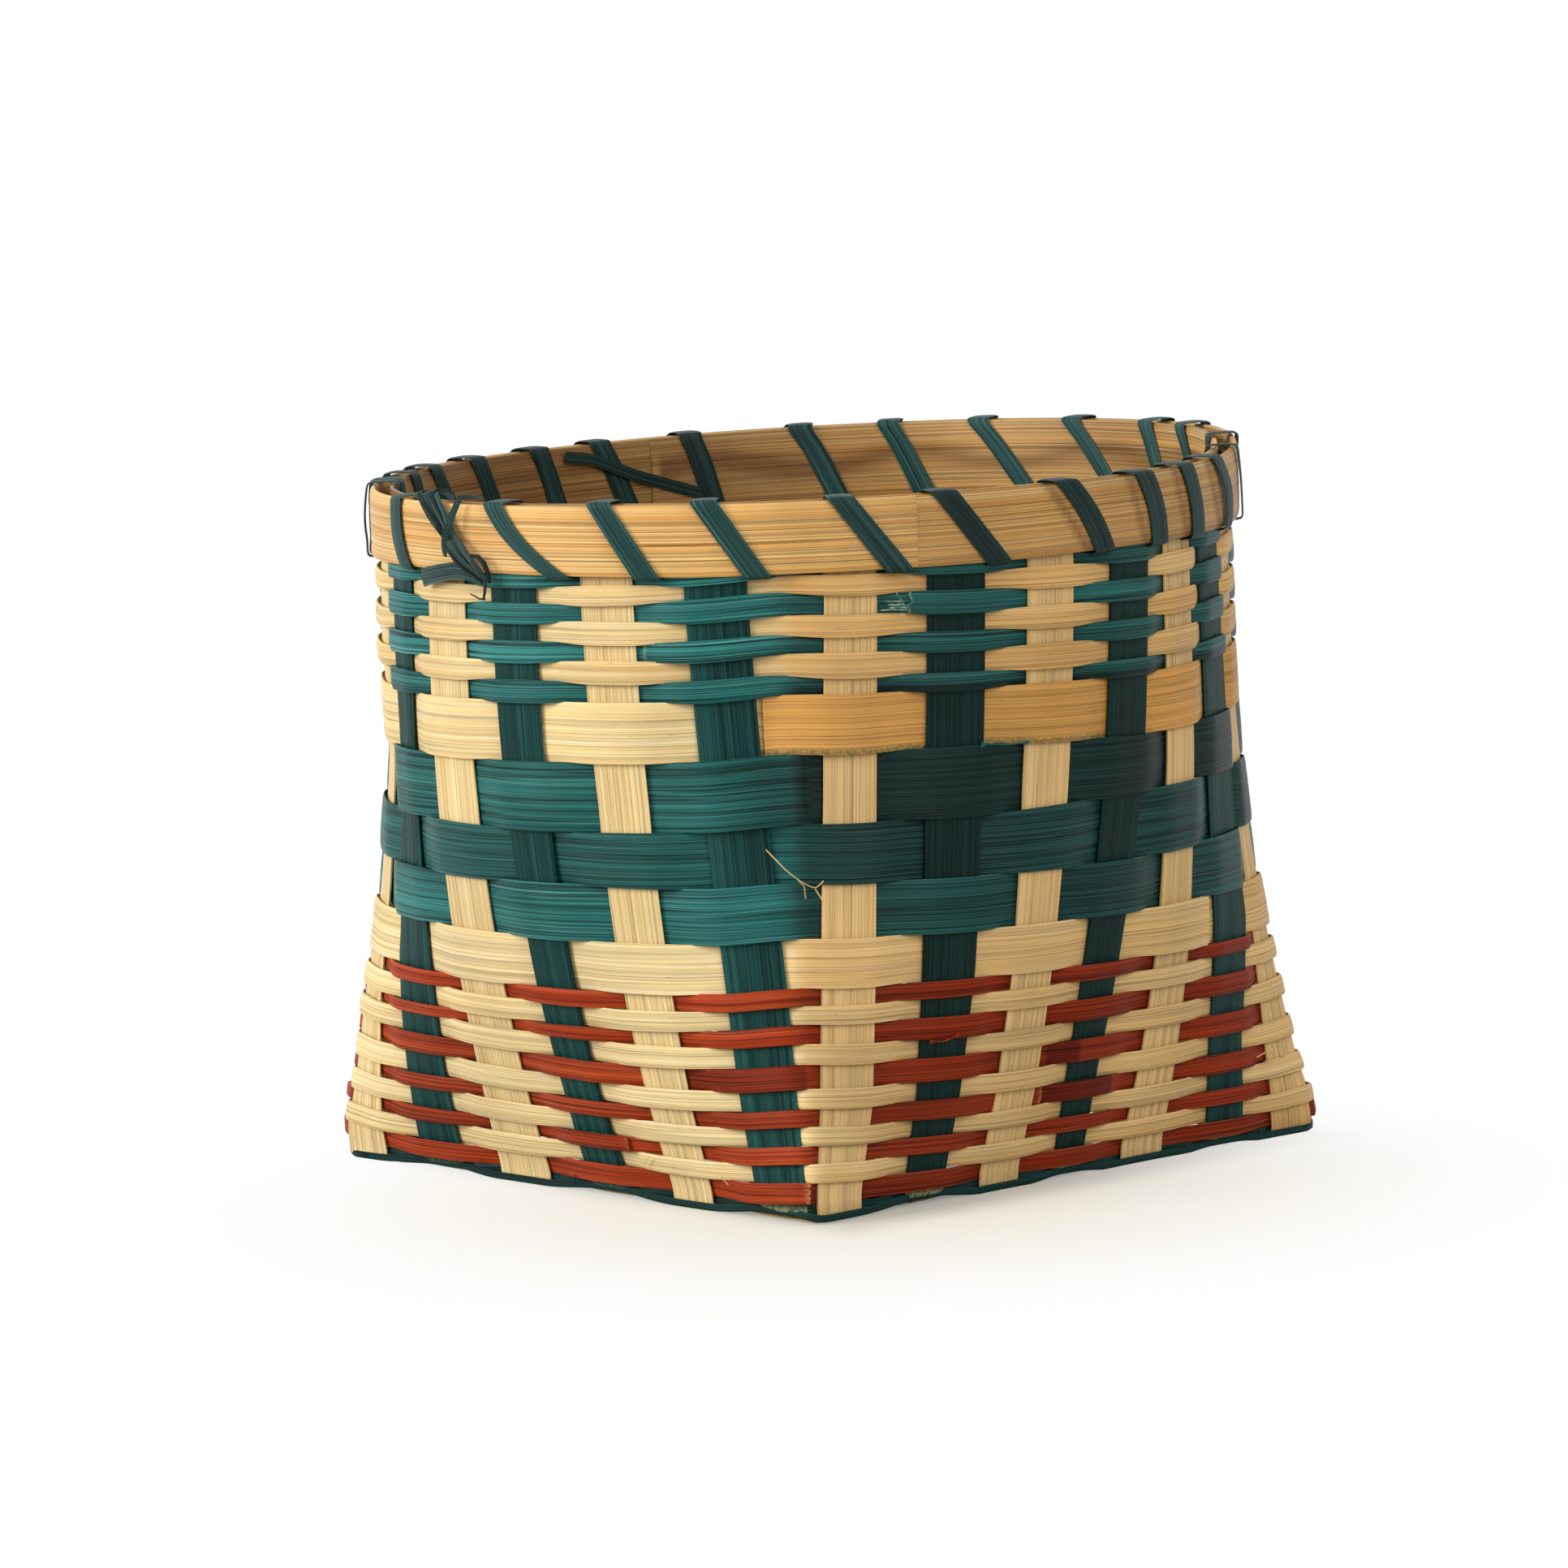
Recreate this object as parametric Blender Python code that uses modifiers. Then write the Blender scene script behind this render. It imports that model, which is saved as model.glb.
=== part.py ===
"""Bamboo basket: a square plaited base whose strips turn up as stakes, woven rows, and a lashed round rim.

Metres, +Z up. The origin is the middle of the base's underside. The front of the base faces -Y.
Every strip is a ribbon, a loft between its two long edges, and Solidify gives it its thickness.
"""

import math

import bmesh
import bpy
import numpy as np
from mathutils import Vector

# The whole basket
base_side = 0.1742
rim_width_x = 0.2126
rim_width_y = 0.2274
rim_rise_x = 0.0006
rim_rise_y = 0.0022
round_height = 0.135
tangent_step_share = 0.0001
clearance = 0.0003

# Stakes: the strips that cross under the base and stand up in the wall
stake_thickness = 0.0008
straw_stake_width = 0.0144
green_stake_width = 0.0154
corner_margin = 0.0022
stake_top_drop = 0.0005
stakes_left_to_right = 7
stakes_front_to_back = 6
middle_stake_levels = 8
corner_stake_levels = 18
level_spread = 1.3

# Weavers: the rows that go round the wall
weaver_thickness = 0.0006
weaver_reach = 0.0004
low_row_height = 0.00413
low_rows = 11
low_straw_band_height = 0.0121
low_green_band_height = 0.0132
middle_green_band_height = 0.0144
high_green_band_height = 0.0163
high_straw_band_height = 0.0146
high_row_height = 0.0046
high_rows = 7
corner_crease_share = 0.75

# The pair of strands twined round the foot of the wall
twine_height = 0.0008
twine_thickness = 0.0006

# Rim: an outer and an inner hoop, lashed together over the ends of the stakes
hoop_height = 0.0188
hoop_thickness = 0.0017
outer_hoop_joint_stake = 6
inner_hoop_joint_stake = 20
lashing_width = 0.0058
lashing_thickness = 0.0004
lashing_slack = 0.0006
lashing_inner_share = 0.45
lashing_start_gap = 2
lashing_wraps = 24
knot_fold = 0.0010
knot_end_share = 0.45
gap_sample_share = 0.1

# Colours and finish of the split bamboo
straw_colour = (0.68, 0.47, 0.20)
green_colour = (0.012, 0.09, 0.085)
red_colour = (0.30, 0.035, 0.012)
hoop_colour = (0.56, 0.32, 0.11)
bamboo_roughness = 0.5

# Sizes that follow from those above
base_half = base_side / 2 - stake_thickness / 2
under_level = stake_thickness / 2
over_level = stake_thickness * 3 / 2 + clearance
weave_top = stake_thickness * 2 + clearance
weaver_offset = stake_thickness / 2 + clearance + weaver_thickness / 2
twine_offset = stake_thickness / 2 + clearance + twine_thickness / 2
twine_low = weave_top + clearance + twine_height / 2
twine_high = twine_low + twine_height + clearance
first_row_foot = twine_high + twine_height / 2 + clearance
hoop_inner_face = stake_thickness / 2 + weaver_thickness + clearance * 2
hoop_offset = hoop_inner_face + hoop_thickness / 2
lashing_offset = hoop_inner_face + hoop_thickness + lashing_slack + lashing_thickness / 2


def band_table():
    """Rows from the foot of the wall to the rim: colour, height."""
    bands = []
    for row in range(low_rows):
        bands.append(("straw" if row % 2 else "red", low_row_height))
    bands.append(("straw", low_straw_band_height))
    bands.append(("green", low_green_band_height))
    bands.append(("green", middle_green_band_height))
    bands.append(("green", high_green_band_height))
    bands.append(("straw", high_straw_band_height))
    for row in range(high_rows):
        bands.append(("straw" if row % 2 else "green", high_row_height))
    return bands


def row_table():
    """Rows with their places: number, colour, lower edge, upper edge."""
    bands = band_table()
    rows = []
    foot = first_row_foot
    for number, (colour, height) in enumerate(bands, start=1):
        if number == len(bands):
            foot += lashing_thickness + clearance
        rows.append((number, colour, foot, foot + height))
        foot += height + clearance
    return rows


rows = row_table()
hoop_foot = rows[-1][2]
lashing_foot = hoop_foot - clearance - lashing_thickness / 2
rim_height = hoop_foot + hoop_height
lashing_top = rim_height + lashing_slack + lashing_thickness / 2
rim_half_x = rim_width_x / 2 - hoop_offset - hoop_thickness / 2
rim_half_y = rim_width_y / 2 - hoop_offset - hoop_thickness / 2


def mix(start, end, share):
    """The value that lies at this share of the way from start to end."""
    return start + (end - start) * share


def roundness(height):
    """0 at the square foot of the wall and 1 where it has become round."""
    if height <= weave_top:
        return 0.0
    if height >= round_height:
        return 1.0
    left = (round_height - height) / (round_height - weave_top)
    return 1.0 - left * left


def wall_point(turn, height):
    """Middle of the wall. A turn counts the sides from the front left corner, anticlockwise from above."""
    corners = [Vector((-1, -1)), Vector((1, -1)), Vector((1, 1)), Vector((-1, 1))]
    side = math.floor(turn)
    square = mix(corners[side % 4], corners[(side + 1) % 4], turn - side) * base_half
    angle = math.radians(mix(-135, -45, turn))
    oval = Vector((rim_half_x * math.cos(angle), rim_half_y * math.sin(angle)))
    return mix(square, oval, roundness(height))


def wall_frame(turn, height):
    """A point of the wall, the way round it there, and the way out of it."""
    along = wall_point(turn + tangent_step_share, height) - wall_point(turn - tangent_step_share, height)
    along.normalize()
    return wall_point(turn, height), along, Vector((along.y, -along.x))


def lifted(point, wall_place, height):
    """A 3D point at this height, with the slight lean of the hand-made rim added."""
    lean = rim_rise_x * wall_place.x / (rim_width_x / 2) + rim_rise_y * wall_place.y / (rim_width_y / 2)
    share = max(0.0, height - weave_top) / (rim_height - weave_top)
    return Vector((point.x, point.y, height + lean * share))


def strip_colour(index):
    """The strips alternate, straw first."""
    return "green" if index % 2 else "straw"


def strip_width(index):
    return green_stake_width if index % 2 else straw_stake_width


def base_place(index, count):
    """Where a strip crosses the base, measured from its middle."""
    first = -base_half + corner_margin + strip_width(0) / 2
    last = base_half - corner_margin - strip_width(count - 1) / 2
    return mix(first, last, index / (count - 1))


def stake_table():
    """The stakes in order round the wall: side, strip, strips in that direction, place along the side."""
    counts = [stakes_front_to_back, stakes_left_to_right] * 2
    table = []
    for side, count in enumerate(counts):
        for place in range(count):
            strip = place if side < 2 else count - 1 - place
            table.append((side, strip, count, place))
    return table


stakes = stake_table()


def stake_turn(stake, height):
    """Stakes start beside the corners and spread evenly as the wall becomes round."""
    side, strip, count, place = stake
    share_at_base = base_place(strip, count) / (2 * base_half) + 0.5
    if side >= 2:
        share_at_base = 1 - share_at_base
    share_at_rim = (place + 0.5) / count
    return side + mix(share_at_base, share_at_rim, roundness(height))


def across(turn, height, reach, offset=0.0, rise=0.0):
    """The two ends of a level line that lies along the wall, at this offset out of it."""
    place, along, out = wall_frame(turn, height)
    ends = []
    for side in (-1, 1):
        on_wall = place + along * reach * side
        ends.append(lifted(on_wall + out * offset, on_wall, height + rise))
    return ends


def stake_edges(stake, height):
    half = strip_width(stake[1]) / 2
    return across(stake_turn(stake, height), height, half)


def collection_for(name):
    collection = bpy.data.collections.new(name)
    bpy.context.scene.collection.children.link(collection)
    return collection


def bamboo(name, colour):
    """A Principled material for split bamboo of this colour."""
    material = bpy.data.materials.new(name)
    material.use_nodes = True
    shader = material.node_tree.nodes["Principled BSDF"]
    shader.inputs["Base Color"].default_value = (*colour, 1.0)
    shader.inputs["Roughness"].default_value = bamboo_roughness
    material.diffuse_color = (*colour, 1.0)
    return material


def folded(corners, outward):
    """A patch as two triangles, so that the fold between them lies on the outward or the inward side."""
    low, next_low, next_high, high = corners
    away = Vector((low.co.x, low.co.y, 0))
    twist = low.co - next_low.co + next_high.co - high.co
    if (twist.dot(away) > 0) == outward:
        return (low, next_low, next_high), (low, next_high, high)
    return (low, next_low, high), (next_low, next_high, high)


def ribbon(name, edge_pairs, thickness, material, collection, closed=False, fold_outward=None):
    """A strip lofted between its two long edges, then given its thickness."""
    mesh = bpy.data.meshes.new(name)
    cage = bmesh.new()
    pairs = [(cage.verts.new(low), cage.verts.new(high)) for low, high in edge_pairs]
    spans = list(zip(pairs, pairs[1:]))
    if closed:
        spans.append((pairs[-1], pairs[0]))
    for number, ((low, high), (next_low, next_high)) in enumerate(spans):
        patch = (low, next_low, next_high, high)
        faces = folded(patch, fold_outward[number]) if fold_outward else [patch]
        for face in faces:
            cage.faces.new(face)
    cage.to_mesh(mesh)
    cage.free()
    mesh.materials.append(material)
    strip = bpy.data.objects.new(name, mesh)
    collection.objects.link(strip)
    wall = strip.modifiers.new("thickness", "SOLIDIFY")
    wall.thickness = thickness
    wall.offset = 0.0
    wall.use_even_offset = True
    return strip


def stake_heights(stake):
    """Heights of a stake's sections. Those near a corner twist most, so they have most."""
    off_middle = abs(2 * (stake[3] + 0.5) / stake[2] - 1)
    levels = round(mix(middle_stake_levels, corner_stake_levels, off_middle))
    spread = [(level / levels) ** level_spread for level in range(levels + 1)]
    return [mix(weave_top, round_height, share) for share in spread] + [rim_height - stake_top_drop]


def base_crossings(index, count, cross_count, over_if_even):
    """Places and levels along a strip where it passes the strips that cross it in the base."""
    path = []
    for cross in range(cross_count):
        over = ((index + cross) % 2 == 0) == over_if_even
        level = over_level if over else under_level
        reach = strip_width(cross) / 2 + weaver_reach
        middle = base_place(cross, cross_count)
        path += [(middle - reach, level), (middle + reach, level)]
    return [(-base_half, path[0][1])] + path + [(base_half, path[-1][1])]


def stake_strip(index, left_to_right, material, collection):
    """One strip: up one wall, across the base over and under its neighbours, and up the opposite wall."""
    count = stakes_left_to_right if left_to_right else stakes_front_to_back
    cross_count = stakes_front_to_back if left_to_right else stakes_left_to_right
    near_side, far_side = (3, 1) if left_to_right else (0, 2)
    near = (near_side, index, count, count - 1 - index if near_side >= 2 else index)
    far = (far_side, index, count, count - 1 - index if far_side >= 2 else index)
    half = strip_width(index) / 2
    middle = base_place(index, count)
    pairs = []
    for height in reversed(stake_heights(near)):
        edges = stake_edges(near, height)
        pairs.append(tuple(reversed(edges)) if near_side >= 2 else tuple(edges))
    for along, level in base_crossings(index, count, cross_count, left_to_right):
        if left_to_right:
            pairs.append((Vector((along, middle - half, level)), Vector((along, middle + half, level))))
        else:
            pairs.append((Vector((middle - half, along, level)), Vector((middle + half, along, level))))
    for height in stake_heights(far):
        edges = stake_edges(far, height)
        pairs.append(tuple(reversed(edges)) if far_side >= 2 else tuple(edges))
    direction = "left_right" if left_to_right else "front_back"
    name = f"stake_{direction}_{index + 1}_{strip_colour(index)}"
    return ribbon(name, pairs, stake_thickness, material, collection)


def corner_after(number):
    """Whether the wall turns a corner between this stake and the next."""
    return stakes[number][0] != stakes[(number + 1) % len(stakes)][0]


def ring_edges(band_height, foot_levels_at, offset_at, creased):
    """Edge points of a band that goes round the wall: two pairs at each stake, one at each creased corner.

    With them comes, for each span, whether the band is outside the stake that it starts from.
    """
    pairs = []
    outside = []
    for number, stake in enumerate(stakes):
        reach = strip_width(stake[1]) / 2 + weaver_reach
        offset = offset_at(number)
        foot_levels = foot_levels_at(number)
        for side, foot in enumerate(foot_levels):
            edges = []
            for level in (foot, foot + band_height):
                edges.append(across(stake_turn(stake, level), level, reach, offset)[side])
            pairs.append(tuple(edges))
        if creased and corner_after(number):
            edges = []
            for level in (foot_levels[1], foot_levels[1] + band_height):
                corner = wall_point(stake[0] + 1, level)
                edges.append(lifted(corner, corner, level))
            pairs.append(tuple(edges))
        outside += [offset > 0] * (len(pairs) - len(outside))
    return pairs, outside


def weaver(number, colour, foot, top, material, collection):
    """One row: outside every other stake, and inside the ones between."""

    def offset_at(stake_number):
        return weaver_offset if (stake_number + number) % 2 == 0 else -weaver_offset

    creased = roundness(foot) < corner_crease_share
    pairs, outside = ring_edges(top - foot, lambda stake_number: (foot, foot), offset_at, creased)
    name = f"weaver_{number:02d}_{colour}"
    return ribbon(name, pairs, weaver_thickness, material, collection, closed=True, fold_outward=outside)


def twine_strand(strand, material, collection):
    """One of two strands that twist round each other: inwards above, outwards below."""

    def is_outside(stake_number):
        return (stake_number + strand) % 2 == 0

    def foot_levels_at(stake_number):
        low = twine_low - twine_height / 2
        high = twine_high - twine_height / 2
        return (low, high) if is_outside(stake_number) else (high, low)

    def offset_at(stake_number):
        return twine_offset if is_outside(stake_number) else -twine_offset

    pairs, outside = ring_edges(twine_height, foot_levels_at, offset_at, True)
    name = f"base_twine_{strand + 1}"
    return ribbon(name, pairs, twine_thickness, material, collection, closed=True, fold_outward=outside)


def hoop(name, offset, joint_stake, material, collection):
    """A flat strip bent round the rim, its two ends meeting after the named stake."""
    pairs = ring_edges(hoop_height, lambda number: (hoop_foot, hoop_foot), lambda number: offset, False)[0]
    cut = (joint_stake + 1) * 2
    ordered = pairs[cut:] + pairs[:cut]
    starts = []
    finishes = []
    for last, first in zip(ordered[-1], ordered[0]):
        middle = (last + first) / 2
        half_gap = (first - last).normalized() * clearance / 2
        finishes.append(middle - half_gap)
        starts.append(middle + half_gap)
    return ribbon(name, [tuple(starts)] + ordered + [tuple(finishes)], hoop_thickness, material, collection)


def gap_turn(number):
    """The turn at the middle of the gap after a stake, on a count that keeps growing past the first stake."""
    laps, stake_number = divmod(number, len(stakes))
    this = stake_turn(stakes[stake_number], lashing_foot)
    following = stake_turn(stakes[(stake_number + 1) % len(stakes)], lashing_foot)
    if stake_number == len(stakes) - 1:
        following += 4
    return (this + following) / 2 + laps * 4


def wrap_edges(foot_turn, next_turn):
    """One wrap: up the inside of the rim, over it, and down the outside to the foot of the next."""
    half = lashing_width / 2
    middle_height = (lashing_foot + lashing_top) / 2
    top_turn = mix(foot_turn, next_turn, lashing_inner_share)
    middle_turn = (top_turn + next_turn) / 2
    return [
        across(foot_turn, lashing_foot, half, -lashing_offset),
        across(top_turn, lashing_top, half, -lashing_offset),
        across(top_turn, lashing_top, half, lashing_offset),
        across(middle_turn, middle_height, half, lashing_offset),
        across(next_turn, lashing_foot, half, lashing_offset),
    ]


def least_gap(pairs):
    """The least distance of the wound strip to itself, over half a wrap apart, less its thickness."""
    lines = np.array([[low, (low + high) / 2, high] for low, high in pairs]).transpose(1, 0, 2)
    places = np.arange(0, len(pairs) - 1, gap_sample_share)
    section = places.astype(int)
    share = (places - section)[None, :, None]
    points = (lines[:, section] * (1 - share) + lines[:, section + 1] * share).reshape(-1, 3)
    distance = np.linalg.norm(points[:, None] - points[None], axis=2)
    places = np.tile(places, len(lines))
    sections_per_wrap = len(wrap_edges(gap_turn(0), gap_turn(1)))
    apart = np.abs(places[:, None] - places[None]) > sections_per_wrap / 2
    return distance[apart].min() - lashing_thickness


def lashing(material, collection):
    """One strip wound through the gaps between the stakes, right round the rim."""
    pairs = []
    for gap in range(lashing_start_gap, lashing_start_gap + lashing_wraps):
        pairs += wrap_edges(gap_turn(gap), gap_turn(gap + 1))
    print(f"rim lashing: {lashing_wraps} wraps, least gap to itself {least_gap(pairs):.4f} m")
    return ribbon("rim_lashing", pairs, lashing_thickness, material, collection)


def knot(material, collection):
    """The lashing's tied end: one more wrap after the last, its end folded up on the outside."""
    half = lashing_width / 2
    last_gap = lashing_start_gap + lashing_wraps
    end_turn = gap_turn(last_gap + 1)
    pairs = wrap_edges(gap_turn(last_gap), end_turn)
    folded_offset = lashing_offset + lashing_thickness + knot_fold
    for share in (0, knot_end_share):
        level = mix(lashing_foot, lashing_top, share)
        pairs.append(across(end_turn, level, half, folded_offset))
    return ribbon("lashing_knot", pairs, lashing_thickness, material, collection)


def basket():
    for old in list(bpy.data.objects):
        bpy.data.objects.remove(old)
    collection = collection_for("bamboo_basket")
    colours = {
        "straw": bamboo("straw_bamboo", straw_colour),
        "green": bamboo("green_bamboo", green_colour),
        "red": bamboo("red_bamboo", red_colour),
        "hoop": bamboo("hoop_bamboo", hoop_colour),
    }
    for index in range(stakes_left_to_right):
        stake_strip(index, True, colours[strip_colour(index)], collection)
    for index in range(stakes_front_to_back):
        stake_strip(index, False, colours[strip_colour(index)], collection)
    for number, colour, foot, top in rows:
        weaver(number, colour, foot, top, colours[colour], collection)
    for strand in range(2):
        twine_strand(strand, colours["green"], collection)
    hoop("rim_hoop_outer", hoop_offset, outer_hoop_joint_stake, colours["hoop"], collection)
    hoop("rim_hoop_inner", -hoop_offset, inner_hoop_joint_stake, colours["hoop"], collection)
    lashing(colours["green"], collection)
    knot(colours["green"], collection)


basket()
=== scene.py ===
"""Looks of a square-footed, round-mouthed bamboo basket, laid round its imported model.

Metres, +Z up. The sides run left to front, front to right, right to back, back to left, and a turn
counts them from the left corner. The sections follow the basket as it is plaited.
"""

import bpy
import numpy as np
from mathutils import Matrix


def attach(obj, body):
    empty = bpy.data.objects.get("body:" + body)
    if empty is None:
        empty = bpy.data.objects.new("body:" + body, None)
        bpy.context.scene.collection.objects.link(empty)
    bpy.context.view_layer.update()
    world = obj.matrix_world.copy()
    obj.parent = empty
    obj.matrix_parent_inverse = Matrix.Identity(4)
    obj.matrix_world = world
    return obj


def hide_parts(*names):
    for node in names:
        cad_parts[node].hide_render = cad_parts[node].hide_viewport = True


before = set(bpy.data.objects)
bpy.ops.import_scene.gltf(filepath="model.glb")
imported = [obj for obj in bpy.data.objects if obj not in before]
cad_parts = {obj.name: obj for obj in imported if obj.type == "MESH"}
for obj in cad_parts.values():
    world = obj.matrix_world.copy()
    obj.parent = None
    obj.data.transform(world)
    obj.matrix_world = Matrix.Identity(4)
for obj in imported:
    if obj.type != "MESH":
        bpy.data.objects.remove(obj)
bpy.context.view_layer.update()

# Stakes: thirteen flat strips of split bamboo, straw and green by turns. They cross under the basket,
# over one and under one, and bend up at the edge of the foot to stand in the wall. The rows hold them.

foot_half = 0.0867  # half a side of the square foot
foot_side = 2 * foot_half
foot_rise = 0.0019  # from here up the wall turns from square to oval
mouth_half = (0.1030, 0.1104)  # half widths of the oval mouth
quarter_less = 0.0055  # a quarter of the mouth is this much shorter than a side of the foot
round_height = 0.135  # from here up it is all oval
lean = (0.0056, 0.0193)  # how steeply the rim climbs along x and along y
lean_height = 0.1725  # the height at which it leans so much
wall_lift = 0.0018  # the whole wall stands higher by this
corner_round = 0.007  # how far a corner is rounded to each side, in turns
stake_thickness = 0.0009
stake_widths = (0.0144, 0.0154)  # straw and green, on the far sides
stake_top = 0.170
end_stake = 0.0097  # from a corner to the middle of the nearest stake
under_lift, under_swing = 0.00112, 0.00056  # the crossing under the foot
fold_top = 0.0048  # below this the bends are rubbed
stake_levels = np.array([0.004, 0.025, 0.055, 0.100, 0.150])
# The turns of each stake's two edges, in thousandths, at the five levels above.
seen_stakes = np.array([
    [[4, 85], [10, 77], [8, 74], [50, 136], [84, 169]],
    [[167, 254], [152, 248], [143, 251], [190, 267], [206, 295]],
    [[336, 443], [339, 446], [339, 452], [347, 460], [361, 462]],
    [[531, 616], [533, 609], [531, 612], [532, 615], [527, 616]],
    [[711, 792], [706, 788], [704, 790], [707, 790], [698, 783]],
    [[887, 987], [883, 985], [883, 983], [877, 969], [862, 955]],
    [[1009, 1092], [1025, 1116], [1038, 1124], [1053, 1131], [1065, 1141]],
    [[1177, 1251], [1194, 1271], [1200, 1287], [1204, 1293], [1216, 1304]],
    [[1323, 1399], [1340, 1415], [1353, 1426], [1360, 1441], [1375, 1456]],
    [[1471, 1528], [1475, 1536], [1489, 1562], [1512, 1597], [1530, 1614]],
    [[1609, 1692], [1628, 1710], [1647, 1731], [1657, 1738], [1656, 1734]],
    [[1784, 1856], [1790, 1868], [1807, 1915], [1786, 1898], [1765, 1860]],
    [[1914, 1994], [1927, 1998], [1938, 1995], [1900, 1985], [1856, 1962]],
]) / 1000


def bell(distance, width):
    """1 at no distance, less on both sides: e to the minus square of distance over width."""
    return np.exp(-((distance / width) ** 2))


def roundness(height):
    """0 at the square foot and 1 at the oval: one less the square of the share still to climb."""
    left = np.clip((round_height - height) / (round_height - foot_rise), 0, 1)
    return 1 - left * left


def plan(turn, height):
    """Square and oval mixed by roundness. The square is four straight sides, the oval an ellipse."""
    corner = np.array([(-1, -1), (1, -1), (1, 1), (-1, 1), (-1, -1)]) * foot_half
    side = np.floor(turn).astype(int) % 4
    share = (turn - np.floor(turn))[..., None]
    square = corner[side] * (1 - share) + corner[side + 1] * share
    angle = np.pi / 2 * turn - 3 * np.pi / 4
    oval = np.stack([mouth_half[0] * np.cos(angle), mouth_half[1] * np.sin(angle)], -1)
    mixed = roundness(height)[..., None]
    return square * (1 - mixed) + oval * mixed


def corner_swell(turn, height):
    """How far the left and the right corner belly out: tables up the wall times bells across each."""
    left = np.interp(height * 1000, [0, 8, 40, 60, 85, 105, 115, 135, 153, 160],
                     [1.6, 3.7, 4.0, 2.5, 1.8, 0.7, 0.8, 2.0, 1.6, 0.5])
    right = np.interp(height * 1000, [0, 10, 20, 45, 60, 85, 110], [2.4, 2.9, 1.6, 0.9, 0.6, 0.2, 0.0])
    from_left, from_right = (turn + 2) % 4 - 2, turn % 4 - 2
    return (left * bell(from_left, 0.2) + right * bell(from_right, 0.16)) / 1000


def wall(turn, height, out):
    """A point of the wall, moved out along the wall's level normal, on corners rounded by averaging."""
    turn, height, out = np.broadcast_arrays(np.asarray(turn, float), np.asarray(height, float), out)
    before, here, after = (plan(turn + step, height) for step in (-corner_round, 0, corner_round))
    place = (before + here + here + after) / 4
    along = after - before
    along /= np.linalg.norm(along, axis=-1, keepdims=True)
    normal = np.stack([along[..., 1], -along[..., 0]], -1)
    place = place + normal * (out + corner_swell(turn, height))[..., None]
    tilt = lean[0] * place[..., 0] + lean[1] * place[..., 1]
    rise = height + tilt * np.clip(height - foot_rise, 0, None) / lean_height + wall_lift
    return np.concatenate([place, rise[..., None]], -1)


def hidden_stakes():
    """The stakes of the two far sides: evenly spaced at the foot, and evenly at the mouth."""
    table = []
    for side, count in ((2, 6), (3, 7)):
        for place in range(count):
            strip = count - 1 - place
            foot = 1 - (end_stake + (foot_side - 2 * end_stake) * strip / (count - 1)) / foot_side
            drift = 0.006 * np.sin(5 * place + side)
            middle = foot + ((place + 0.5) / count - foot) * roundness(stake_levels) + drift
            half = stake_widths[strip % 2] / 2 / (foot_side - quarter_less * roundness(stake_levels))
            table.append(np.stack([side + middle - half, side + middle + half], -1))
    return np.array(table)


stakes = np.concatenate([seen_stakes, hidden_stakes()])
stake_count = len(stakes)


def stake_edges(number, height):
    """Turn of a stake's two edges at these heights: its table, joined by straight lines."""
    times_round, ring = divmod(number, stake_count)
    low, high = (np.interp(height, stake_levels, stakes[ring, :, edge]) for edge in (0, 1))
    return low + 4 * times_round, high + 4 * times_round


def wander(places, seed, size):
    """A slow hand-made waver: a sum of five sines with seeded lengths, phases and strengths."""
    waves = 5
    draw = np.random.default_rng(seed)
    lengths = draw.uniform(0.25, 1.6, waves)
    phases = draw.uniform(0, 2 * np.pi, waves)
    strength = draw.uniform(0.4, 1, waves)
    total = sum(s * np.sin(2 * np.pi * places / l + p) for s, l, p in zip(strength, lengths, phases))
    return size * total / np.sqrt(waves)


def make_piece(name, points, faces, material, nodes, along, stain_and_shade=None, worn=None):
    """A mesh from whole arrays, with the strip's own coordinates, riding on the basket's one body."""
    mesh = bpy.data.meshes.new(name)
    mesh.from_pydata(points.reshape(-1, 3).tolist(), [], faces.tolist())
    mesh.materials.append(material)
    mesh.shade_smooth()
    mesh.set_sharp_from_angle(angle=np.radians(50))
    mesh.attributes.new("strip", "FLOAT_VECTOR", "POINT").data.foreach_set("vector", along.ravel())
    for mark, amount in (("stain_and_shade", stain_and_shade), ("worn", worn)):
        amount = np.zeros(points.size // 3) if amount is None else np.ascontiguousarray(amount, float)
        mesh.attributes.new(mark, "FLOAT", "POINT").data.foreach_set("value", amount.ravel())
    piece = bpy.data.objects.new(name, mesh)
    bpy.context.scene.collection.objects.link(piece)
    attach(piece, "root")
    if nodes:
        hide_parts(*nodes)


def both_faces(values):
    """Values across a strip's outside, then back across its inside."""
    return np.concatenate([values, values[:, ::-1]], axis=1)


def strip_faces(sections, around):
    """Quads of a tube of this many sections, then the two ends closed by quads across the strip."""
    row = np.arange(sections - 1)[:, None] * around
    ring = np.arange(around)[None, :]
    follow = (ring + 1) % around
    sides = np.stack([row + ring, row + follow, row + around + follow, row + around + ring], -1)
    step = np.arange(around // 2 - 1)
    start = np.stack([step, around - 1 - step, around - 2 - step, step + 1], -1)
    finish = start[:, ::-1] + (sections - 1) * around
    return np.concatenate([sides.reshape(-1, 4), start, finish])


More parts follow.
